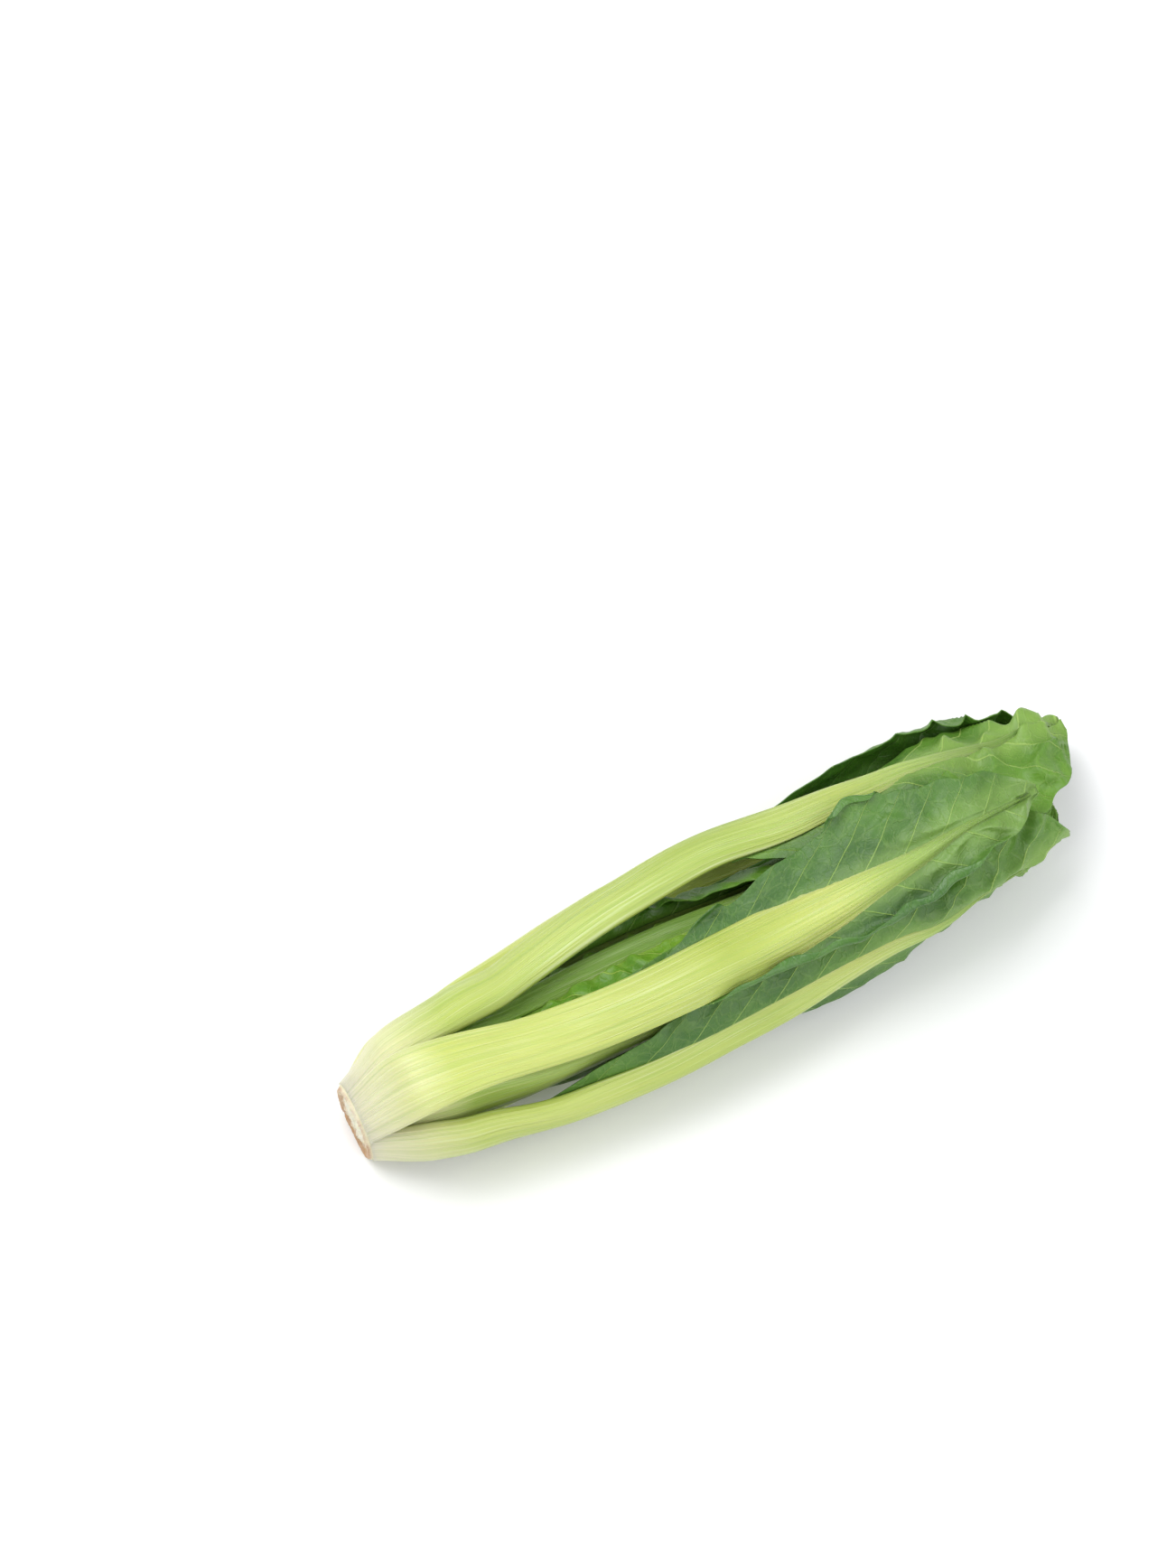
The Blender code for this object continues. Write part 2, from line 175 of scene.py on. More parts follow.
class Leaf:
    """The sizes of one leaf, from its age: leaf 0 is the oldest."""

    def __init__(self, age):
        share = age / (LEAVES - 1)
        self.age = age
        self.share = share
        self.angle = (FIRST_ANGLE + age * TURN + ASIDE[age]) % (2 * math.pi)
        self.start = FIRST_PLACE + PLACE_STEP * (age // LEAVES_AT_A_PLACE)
        self.length = HEAD_LENGTH * LENGTHS[age] - self.start
        self.half_width = BLADE_HALF_WIDTH * (1 - 0.68 * share**1.3)
        self.half_width *= OLDEST_BLADE_SHARE if age == 0 else 1
        self.tuck = TUCKS[age]
        self.taper = OLDEST_TAPER if age == 0 else 0.0
        self.stalk_half_width = STALK_HALF_WIDTH * (1 - 0.30 * share - 0.35 * share**2)
        self.stalk_thickness = STALK_THICKNESS * (1 - 0.40 * share - 0.25 * share**2)
        self.wing_start = WING_STARTS[age]
        self.edge_wave = EDGE_WAVE * (1 - 0.70 * share)
        self.tip_curl = TIP_CURL if age == 0 else 0.0
        self.bow = BOW * (1 - share) ** 1.5

    def stalk_width_at(self, t):
        factor = along(
            [0, 0.05, 0.1, 0.2, 0.3, 0.5, 0.62, 0.72, 0.8, 0.9, 1.0],
            [1.15, 1.3, 1.25, 1.06, 1.0, 0.96, 0.90, 0.66, 0.36, 0.15, 0.06],
            t,
        )
        return self.stalk_half_width * factor * (1 - 0.6 * self.share**2 * smooth(0.05, 0.3, t))

    def stalk_thickness_at(self, t):
        factor = along(
            [0, 0.015, 0.04, 0.08, 0.2, 0.5, 0.65, 0.8, 0.93, 1.0],
            [0.16, 0.45, 0.75, 0.9, 1.0, 0.86, 0.6, 0.34, 0.2, 0.16],
            t,
        )
        return self.stalk_thickness * factor

    def wing_at(self, t):
        """How far the blade reaches from the stalk's middle, from where its wings start to its tip."""
        way = np.clip((t - self.wing_start) / (1 - self.wing_start), 0, 1)
        spread = along(
            [0, 0.05, 0.12, 0.28, 0.42, 0.60, 0.75, 0.88, 0.95, 1.0],
            [0, 0.22, 0.36, 0.62, 0.82, 1.0, 0.96, 0.78, 0.60, 0.35],
            way,
        )
        return self.half_width * spread * (1 - self.taper * smooth(0.7, 1.0, t))

    def notch_at(self, t):
        """Half the width of the notch between the wings, where the stalk lies open."""
        return 0.72 * self.stalk_width_at(t) * (1 - smooth(0.60, 0.75, t))

    def wave_room(self, t, arc):
        """The depth of the band in which the blade's edge waves, at arc lengths from the leaf's middle."""
        to_edge = smooth(0.3, 1.0, arc / (self.wing_at(t) + 0.003))
        past_stalk = smooth(1.0, 2.0, arc / self.stalk_width_at(t))
        lengthwise = smooth(self.wing_start, self.wing_start + 0.35, t) * (1 - 0.6 * smooth(0.84, 1.0, t))
        return self.edge_wave * to_edge * past_stalk * lengthwise

    def wave(self, x, arc):
        """How high the waving edge stands in that band, from 0 to 1, at signed arc lengths."""
        side = np.sign(arc)
        return 0.5 + 0.5 * np.sin(50 * np.abs(arc) + 1.3 * side + 150 * x + 1.7 * self.age)

    def stalk_floor(self, t):
        """How far the solid stalk's inner face lies above the leaf's bed."""
        return (SOLID_BLADE + JOINT_GAP) * smooth(0.3 * self.wing_start, self.wing_start, t)

    def skin(self, x, t, arc):
        """The height of the leaf's outer face above its bed, at signed arc lengths, or 0 beyond its edge."""
        size = np.abs(arc)
        sheet = SOLID_BLADE + self.wave_room(t, size) * self.wave(x, arc)
        sheet = np.where(size < self.wing_at(t) * np.where(arc < 0, self.tuck, 1), sheet, 0)
        across = arc / self.stalk_width_at(t)
        dome = 0.25 + 0.75 * np.sqrt(np.clip(1 - across**2, 0, 1))
        stalk = self.stalk_floor(t) + self.stalk_thickness_at(t) * dome
        return np.where(size < self.stalk_width_at(t), stalk, sheet)

    def lift(self, t, arc, scale):
        """How far the leaf lifts the leaves outside it, at arc lengths from its middle."""
        stalk = (self.stalk_floor(t) + self.stalk_thickness_at(t) + LEAF_GAP) / scale
        lift = stalk * (1 - smooth(0.75, 1.5, arc / self.stalk_width_at(t)))
        wing = self.wing_at(t)
        sheet = SOLID_BLADE + LEAF_GAP + self.wave_room(t, arc)
        lift = np.maximum(lift, sheet * (1 - smooth(wing + 0.005, 1.1 * wing + 0.016, arc)))
        return lift * (1 - 0.45 * smooth(1.0, 1.25, t))


def held_below(values, limit):
    """The values, the highest of them pressed together so that they stay below a limit."""
    free = limit - BOX_MARGIN - BOX_BAND
    pressed = free + BOX_BAND * (1 - np.exp(-np.maximum(values - free, 0) / BOX_BAND))
    return np.where(values > free, pressed, values)


def turn_between(angle, other):
    """How far an angle is turned from another, from -pi to pi."""
    return (angle - other + math.pi) % (2 * math.pi) - math.pi


class Section:
    """The head's cross-section at x: the radius under every leaf at all angles."""

    angles = np.linspace(0, 2 * math.pi, ANGLE_STEPS, endpoint=False)

    def __init__(self, leaves, x):
        self.x = x
        self.beds = {}
        self.ways = {}
        scale = normal_scale(x, self.angles)
        radius = max(heart_radius(x), stem_radius(x) + 2 * JOINT_GAP) + 0 * self.angles
        self.skin = radius
        bowed = along([0, 0.02, 0.07, 0.13, 0.19, 0.25, 0.30], [0, 0, 0.8, 1, 0.7, 0.35, 0.5], x)
        for leaf in reversed(leaves):
            t = (x - leaf.start) / leaf.length
            under_stalk = 1 - smooth(0.6, 1.1, np.abs(turn_between(self.angles, leaf.angle)))
            radius = self.bridge(radius, 4)
            radius = radius + under_stalk * (self.bridge(radius, 14) - radius) + leaf.bow * bowed
            self.beds[leaf.age] = radius
            self.ways[leaf.age] = self.way(leaf, radius)
            if t > -0.02:
                arc = self.arc_at(leaf, self.angles)
                if 0 <= t <= 1:
                    skin = leaf.skin(x, t, arc) / scale
                    self.skin = np.where(skin > 0, radius + skin, self.skin)
                radius = radius + leaf.lift(max(t, 0), np.abs(arc), scale) * smooth(-0.02, 0.02, t)
        closed = -self.bridge(-self.bridge(self.skin, 28, 4), 28, 6)
        under = place(x, self.angles[ANGLE_STEPS // 2 :], closed[ANGLE_STEPS // 2 :])
        self.under = under[np.argsort(under[:, 1])]
        self.lowest = self.under[:, 2].min()

    def bridge(self, radius, reach, soft=None):
        """A smooth line over the bumps of a radius: a stiff leaf spans the hollows under it."""
        highest = np.max([np.roll(radius, shift) for shift in range(-reach, reach + 1)], axis=0)
        soft = reach if soft is None else soft
        return np.mean([np.roll(highest, shift) for shift in range(-soft, soft + 1)], axis=0)

    def way(self, leaf, radius):
        """Angles within half a turn of the leaf's middle, and the way along the section to each."""
        angle = leaf.angle + np.linspace(-math.pi, math.pi, ANGLE_STEPS + 1)
        here = np.interp(angle, self.angles, radius, period=2 * math.pi)
        steps = np.linalg.norm(np.diff(place(self.x, angle, here), axis=0), axis=1)
        way = np.concatenate([[0.0], np.cumsum(steps)])
        return angle, way - way[ANGLE_STEPS // 2]

    def girth(self, leaf):
        """The way once round the section, over the leaves under a leaf."""
        way = self.ways[leaf.age][1]
        return way[-1] - way[0]

    def arc_at(self, leaf, angle):
        """Signed arc lengths along a leaf's bed, from its middle to angles."""
        angles, way = self.ways[leaf.age]
        return np.interp(leaf.angle + turn_between(angle, leaf.angle), angles, way)

    def points(self, leaf, arc, thickness):
        """Points at arc lengths from a leaf's middle and a thickness above the leaves under it."""
        angles, way = self.ways[leaf.age]
        angle = np.interp(arc, way, angles)
        bed = np.interp(angle, self.angles, self.beds[leaf.age], period=2 * math.pi)
        return self.settle(place(self.x, angle, bed + thickness / normal_scale(self.x, angle)))

    def settle(self, points):
        """The points after the head has settled on the table, in the frame's own place."""
        above = points[:, 2] - np.interp(points[:, 1], self.under[:, 1], self.under[:, 2])
        hollow = points[:, 2] - above - self.lowest
        middle = 1 - smooth(0.012, 0.034, np.abs(points[:, 1]))
        lengthwise = smooth(0.01, 0.05, self.x) * (1 - 0.8 * smooth(0.20, 0.27, self.x))
        sink = hollow * middle * (1 - smooth(0, 0.032, above)) * lengthwise
        sunk = self.lowest + sink + FLAT_SPOT - TIP_LIFT * smooth(0.15, 0.21, self.x)
        settled = points - np.stack([0 * sink, 0 * sink, sunk], axis=-1)
        settled[:, 1] += END_BEND * smooth(0.18, 0.31, self.x)
        settled[:, 2] = np.maximum(settled[:, 2], 0.0)
        settled = settled + FOOT
        settled[:, 1] = held_below(settled[:, 1], cad_high.y)
        settled[:, 1] = -held_below(-settled[:, 1], -cad_low.y)
        settled[:, 2] = held_below(settled[:, 2], cad_high.z)
        return settled


leaves = [Leaf(age) for age in range(LEAVES)]
rows_along = np.arange(0.0, HEAD_LENGTH + 0.5 * ROW_STEP, ROW_STEP)
sections = [Section(leaves, x) for x in rows_along]


def rows_between(start, end):
    """The sections from one place along the head to another."""
    return [section for section in sections if start <= section.x <= end]


def grid(across, rows):
    """A bmesh grid, and for each of its rows the indices of the vertices across it."""
    bm = bmesh.new()
    bmesh.ops.create_grid(bm, x_segments=across - 1, y_segments=rows - 1, size=0.5)
    corners = np.array([vertex.co[:2] for vertex in bm.verts])
    order = np.lexsort((corners[:, 0].round(6), corners[:, 1].round(6)))
    return bm, order.reshape(rows, across)


def set_points(bm, order, points, marks, layer_name):
    """Moves the grid's vertices to points, and marks each one with a vector for its material."""
    bm.verts.ensure_lookup_table()
    layer = bm.verts.layers.float_vector.new(layer_name)
    for index, point, mark in zip(order.ravel(), points.reshape(-1, 3), marks.reshape(-1, 3)):
        vertex = bm.verts[index]
        vertex.co = point
        vertex[layer] = mark


def close_up(bm):
    """Joins a tube's seam, closes its ends and turns its faces outwards."""
    bmesh.ops.remove_doubles(bm, verts=bm.verts, dist=MERGE_DISTANCE)
    bmesh.ops.holes_fill(bm, edges=[edge for edge in bm.edges if edge.is_boundary])
    bmesh.ops.recalc_face_normals(bm, faces=bm.faces)


def add_piece(name, bm, materials, node):
    """Makes an object of a finished bmesh, in place of a node of the frame."""
    mesh = bpy.data.meshes.new(name)
    bm.to_mesh(mesh)
    bm.free()
    for material in materials:
        mesh.materials.append(material)
    mesh.shade_smooth()
    piece = bpy.data.objects.new(name, mesh)
    bpy.context.scene.collection.objects.link(piece)
    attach(piece, "root")
    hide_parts(node)
    return piece


class Value:
    """A shader socket that can stand in a sum: each operation adds a Math node."""

    def __init__(self, finish, socket):
        self.finish = finish
        self.socket = socket

    def math(self, operation, *others):
        return self.finish.node("ShaderNodeMath", {"operation": operation}, (self, *others))

    def __add__(self, other):
        return self.math("ADD", other)

    def __sub__(self, other):
        return self.math("SUBTRACT", other)

    def __mul__(self, other):
        return self.math("MULTIPLY", other)

    def __truediv__(self, other):
        return self.math("DIVIDE", other)

    def __pow__(self, other):
        return self.math("POWER", other)

    def __abs__(self):
        return self.math("ABSOLUTE")

    def __rsub__(self, other):
        return self.finish.node("ShaderNodeMath", {"operation": "SUBTRACT"}, (other, self))

    __radd__ = __add__
    __rmul__ = __mul__

    def step(self, low, high):
        """0 at low, 1 at high, and a smooth step between them."""
        settings = {"interpolation_type": "SMOOTHSTEP"}
        inputs = {"Value": self, "From Min": low, "From Max": high}
        return self.finish.node("ShaderNodeMapRange", settings, inputs)


class Finish:
    """A material with one Principled shader, built up by calls."""

    def __init__(self, name, **constants):
        self.material = bpy.data.materials.new(name)
        self.material.use_nodes = True
        self.tree = self.material.node_tree
        self.shader = self.tree.nodes["Principled BSDF"]
        for socket, value in constants.items():
            self.shader.inputs[socket.replace("_", " ")].default_value = value

    def node(self, kind, settings, inputs, output=0):
        """Adds a node with settings and then the values or links of its sockets, and gives an output."""
        made = self.tree.nodes.new(kind)
        stops = settings.pop("stops", None)
        for key, value in settings.items():
            setattr(made, key, value)
        if stops:
            while len(made.color_ramp.elements) < len(stops):
                made.color_ramp.elements.new(1.0)
            for element, (at, colour) in zip(made.color_ramp.elements, stops):
                element.position = at
                element.color = (*colour, 1.0)
        pairs = inputs.items() if isinstance(inputs, dict) else enumerate(inputs)
        for key, value in pairs:
            if isinstance(value, Value):
                self.tree.links.new(value.socket, made.inputs[key])
            else:
                made.inputs[key].default_value = value
        return Value(self, made.outputs[output])

    def mark(self, name):
        """The three parts of the vector that marks the surface."""
        vector = self.node("ShaderNodeAttribute", {"attribute_name": name}, {}, "Vector")
        return [self.node("ShaderNodeSeparateXYZ", {}, (vector,), axis) for axis in range(3)]

    def vector(self, x, y, z=0.0):
        return self.node("ShaderNodeCombineXYZ", {}, (x, y, z))

    def noise(self, vector, scale=1.0, detail=2.0, roughness=0.5):
        inputs = {"Vector": vector, "Scale": scale, "Detail": detail, "Roughness": roughness}
        return self.node("ShaderNodeTexNoise", {}, inputs)

    def cells(self, vector, scale):
        """How far a place is from the nearest line of a net."""
        inputs = {"Vector": vector, "Scale": scale}
        return self.node("ShaderNodeTexVoronoi", {"feature": "DISTANCE_TO_EDGE"}, inputs)

    def ramp(self, factor, *stops):
        return self.node("ShaderNodeValToRGB", {"stops": stops}, (factor,))

    def mix(self, factor, first, second):
        """The first colour at factor 0 and the second at 1."""
        def full(colour):
            return (*colour, 1.0) if isinstance(colour, tuple) else colour
        inputs = {0: factor, 6: full(first), 7: full(second)}
        return self.node("ShaderNodeMix", {"data_type": "RGBA"}, inputs, 2)

    def feed(self, socket, value):
        self.tree.links.new(value.socket, self.shader.inputs[socket])

    def bump(self, relief, depth):
        """Bumps the surface by a relief from 0 to 1 that stands for a depth in metres."""
        normal = self.node("ShaderNodeBump", {}, {"Strength": 1.0, "Distance": depth, "Height": relief})
        self.feed("Normal", normal)


def stem_mesh():
    """The stem from the middle of its cut face over the rim and up to its growing tip."""
    bm, order = grid(STEM_AROUND + 1, CUT_ROWS + STEM_ROWS)
    around = np.linspace(0, 2 * math.pi, STEM_AROUND + 1)
    points = np.zeros((*order.shape, 3))
    marks = np.zeros((*order.shape, 3))
    cut_shares = 1 - (1 - np.linspace(0, 1, CUT_ROWS)) ** 1.3
    side_places = np.linspace(0, STEM_LENGTH - 1e-5, STEM_ROWS + 1)[1:]
    for row in range(len(order)):
        share = cut_shares[row] if row < CUT_ROWS else 1.0
        x = 0.0 if row < CUT_ROWS else side_places[row - CUT_ROWS]
        rim = 1 - 0.05 * smooth(0.0015, 0.0, x)
        points[row] = Section(leaves, x).settle(place(x, around, share * rim * stem_radius(x) + 0 * around))
        if row < CUT_ROWS:
            for i, turn in enumerate(around):
                spot = Vector((share * 5 * math.cos(turn), share * 5 * math.sin(turn), 3.0))
                rough = CUT_ROUGHNESS * noise.fractal(spot, 0.6, 2.1, 4)
                hollow = CUT_HOLLOW * (1 - smooth(0.75, 1.0, share))
                points[row, i, 0] += hollow + rough * (1 - 0.5 * share**6)
            points[row, :, 0] = np.maximum(points[row, :, 0], FOOT[0])
        marks[row] = np.stack([share * np.cos(around), share * np.sin(around), x + 0 * around], axis=-1)
    set_points(bm, order, points, marks, "stem")
    close_up(bm)
    return bm


def stem_finish():
    """Pale pith with a ring in it, browned round the cut's rim, and a cream side."""
    finish = Finish("stem_cream", Roughness=0.5, Subsurface_Weight=0.25, Subsurface_Scale=0.003)
    finish.shader.inputs["Subsurface Radius"].default_value = (1.0, 0.7, 0.35)
    across, up, place_along = finish.mark("stem")
    reach = (across * across + up * up) ** 0.5
    spot = finish.vector(across, up, place_along * 60)
    blotch = finish.noise(spot, 3.2, 4.0, 0.6)
    grain = finish.noise(spot, 22.0, 3.0, 0.6)
    pith = finish.mix(blotch.step(0.35, 0.7), (0.86, 0.82, 0.60), (0.90, 0.88, 0.74))
    ring = abs(reach - 0.74 - 0.06 * blotch).step(0.07, 0.0)
    pith = finish.mix(ring * 0.6, pith, (0.55, 0.50, 0.22))
    browning = (reach + 0.9 * blotch - 0.30 * up).step(0.95, 1.45) * (0.55 + 0.45 * grain)
    cut = finish.mix(browning, pith, (0.42, 0.17, 0.035))
    cut = finish.mix(grain.step(0.55, 0.70) * 0.5, cut, (0.52, 0.27, 0.08))
    side = finish.mix(place_along.step(0.0, 0.012), (0.84, 0.80, 0.52), (0.80, 0.84, 0.50))
    finish.feed("Base Color", finish.mix(place_along.step(0.0002, 0.0016), cut, side))
    finish.bump(grain * 0.5 + blotch * 0.5, 0.0006)
    return finish.material


add_piece("stem_base_cut", stem_mesh(), [stem_finish()], "stem_base")


# The leaf stalks: crisp, juicy and ribbed lengthwise, crescents in section with the hollow side towards
# the heart. Each is broad and cream where it clasps the stem, turns yellow-green further up, and runs on
# as the blade's rib.
OUTER_SHARE = 0.62
STALK_AROUND = 56
RIBS = 9
RIB_DEPTH = 0.00016
FOOT_PLACE = 0.0012
SMOOTHING = 16
FOOT_SINK = 0.00065
RIB_END = 0.985


def stalk_mesh(leaf):
    """A stalk as a tube: round its ribbed outside first, and back along its hollow inside."""
    foot = FOOT_PLACE if leaf.age < LEAVES - HEART_LEAVES else leaf.start
    rows = rows_between(foot, leaf.start + RIB_END * leaf.length)
    bm, order = grid(STALK_AROUND + 1, len(rows))
    turn = np.linspace(0, 1, STALK_AROUND + 1)
    outer = turn <= OUTER_SHARE
    across = np.where(
        outer,
        -np.cos(math.pi * turn / OUTER_SHARE),
        np.cos(math.pi * (turn - OUTER_SHARE) / (1 - OUTER_SHARE)),
    )
    points = np.zeros((*order.shape, 3))
    marks = np.zeros((*order.shape, 3))
    for row, section in enumerate(rows):
        t = (section.x - leaf.start) / leaf.length
        rib = smooth(leaf.wing_start - 0.03, leaf.wing_start + 0.30, t)
        thickness = leaf.stalk_thickness_at(t) * (0.3 + 0.7 * smooth(0, 0.012, t))
        shoulder = 0.25 * np.clip(1 - across**8, 0, 1) ** 0.5 + 0.75 * np.sqrt(np.clip(1 - across**2, 0, 1))
        bell = 0.5 + 0.5 * np.cos(math.pi * across)
        outside = thickness * ((1 - rib) * shoulder + rib * bell)
        ribs = RIB_DEPTH * np.cos(math.pi * RIBS * across + leaf.age) * (1 - across**2)
        outside = outside + ribs * smooth(0, 0.1, t) * (1 - 0.7 * rib)
        inside = thickness * 0.14 * (1 - across**2) * (1 - rib)
        floor = leaf.stalk_floor(t) * (1 - 0.9 * rib)
        up = floor + np.where(outer, outside, inside) + leaf.tip_curl * smooth(0.75, 1.1, t)
        up = up - FOOT_SINK * (1 - smooth(0, 0.02, t))
        arc = leaf.stalk_width_at(t) * across * (1 + 0.25 * rib)
        points[row] = section.points(leaf, arc, up)
        marks[row] = np.stack([across, section.x + 0 * across, t + 0 * across], axis=-1)
    for turn_of_smoothing in range(SMOOTHING):
        points[1:-1] = 0.25 * points[:-2] + 0.5 * points[1:-1] + 0.25 * points[2:]
    set_points(bm, order, points, marks, "leaf")
    close_up(bm)
    return bm


def stalk_finish(leaf, name):
    """From cream at the foot over yellow-green to a rib that turns green, with fine lines along it."""
    finish = Finish(
        name,
        Roughness=0.32,
        Subsurface_Weight=0.30,
        Subsurface_Scale=0.004,
        Coat_Weight=0.15,
        Coat_Roughness=0.25,
    )
    finish.shader.inputs["Subsurface Radius"].default_value = (0.8, 1.0, 0.3)
    across, place_along, t = finish.mark("leaf")
    # The younger, inner stalks are greener, and their lime and green are also made darker as painted shade,
    # for the shade they lie in inside the head.
    young = leaf.share**1.5
    lime = (0.51 - 0.40 * young, 0.57 - 0.24 * young, 0.135 - 0.12 * young)
    green = (0.41 - 0.32 * young, 0.49 - 0.20 * young, 0.090 - 0.08 * young)
    colour = finish.ramp(
        t + 0.05 * finish.noise(finish.vector(across * 2, place_along * 20, leaf.age), 1.0) - 0.025,
        (0.0, (0.76, 0.73, 0.46)),
        (0.055, (0.64, 0.65, 0.30)),
        (0.12, lime),
        (0.28, lime),
        (0.52, green),
        (0.68, lime),
        (0.80, (0.34, 0.48, 0.11)),
        (0.93, (0.15, 0.29, 0.04)),
    )
    lines = finish.noise(finish.vector(across * 9, place_along * 7, leaf.age), 1.0, 3.0, 0.65)
    fine_lines = finish.noise(finish.vector(across * 34, place_along * 14, leaf.age), 1.0, 2.0, 0.6)
    striped = finish.mix((1 - lines).step(0.42, 0.75) * 0.45, colour, (0.24, 0.42, 0.05))
    striped = finish.mix(fine_lines.step(0.52, 0.72) * 0.35, striped, (0.86, 0.90, 0.58))
    finish.feed("Base Color", striped)
    finish.bump(lines * 0.6 + fine_lines * 0.4, 0.0009)
    return finish.material


# The blades: thin leaves with a waved edge, deep green and shiny on the side that faces the heart, paler and
# duller outside, where the veins stand out. They grow along both sides of the stalk in its upper part.
SHEET = 0.00045
VEIN_SPACING = 0.017
VEIN_SLOPE = 1.25
VEIN_BEND = 10.0
VEIN_WIDTH = 0.0014
VEIN_DEPTH = 0.00030
BLISTER_DEPTH = 0.00055
CRUMPLE = 0.0005
CREASE_HEIGHT = 0.0034
CREASES_ALONG = 55
CREASES_ACROSS = 75
RUFFLE_HEIGHT = 0.0026
RUFFLE_LENGTH = 0.012
RUFFLED_AGES = (6, 7, 8)
TIP_ROUND = 0.05
ROLL_RADIUS = 0.0018
LOWER_ROLL = 0.0076
UPPER_ROLL = 0.0064
BLADE_COLUMNS = 52
BLADE_END = 0.9995
LEAST_NOTCH = 0.0004


def roll_at(leaf, side, x):
    """How much of the blade's margin is rolled outward, on one side at x."""
    if leaf.age > 0:
        return 0.0
    start = leaf.start + (leaf.wing_start + 0.10) * leaf.length
    if side < 0:
        uneven = 0.85 + 0.15 * math.sin(210 * x) * math.sin(87 * x + 1.0)
        return LOWER_ROLL * uneven * float(smooth(start - 0.01, start + 0.02, x))
    spots = float(smooth(0.35, 0.8, math.sin(95 * x + 1.5)))
    return UPPER_ROLL * spots * float(smooth(start, start + 0.03, x))


def notching(turn):
    """How much of a blade's width its uneven margin falls short of."""
    return 0.03 * (1 + math.sin(turn)) + 0.035 * max(0.0, math.sin(0.37 * turn)) ** 4


def creases(leaf, x, arc):
    """Sharp creases over a blade: from 0 between them to 1 on one."""
    waves = [noise.noise(Vector((CREASES_ALONG * x, CREASES_ACROSS * a, 7.0 + 2.0 * leaf.age))) for a in arc]
    return (1 - np.minimum(np.abs(waves) * 3.2, 1)) ** 1.3


def rolled(size, edge, length):
    """Arc lengths and heights across a sheet whose last stretch before the edge is rolled outward."""
    turn = np.maximum(size - (edge - length), 0) / ROLL_RADIUS
    return np.minimum(size, edge - length) + ROLL_RADIUS * np.sin(turn), ROLL_RADIUS * (1 - np.cos(turn))


def vein_lines(arc, place_along):
    """How near a place lies to a side vein: 1 on one, 0 halfway between two."""
    size = np.abs(arc)
    line = (place_along - VEIN_SLOPE * size - VEIN_BEND * size**2) / VEIN_SPACING + 0.5 * (arc > 0)
    return 1 - 2 * np.abs(line - np.floor(line) - 0.5)


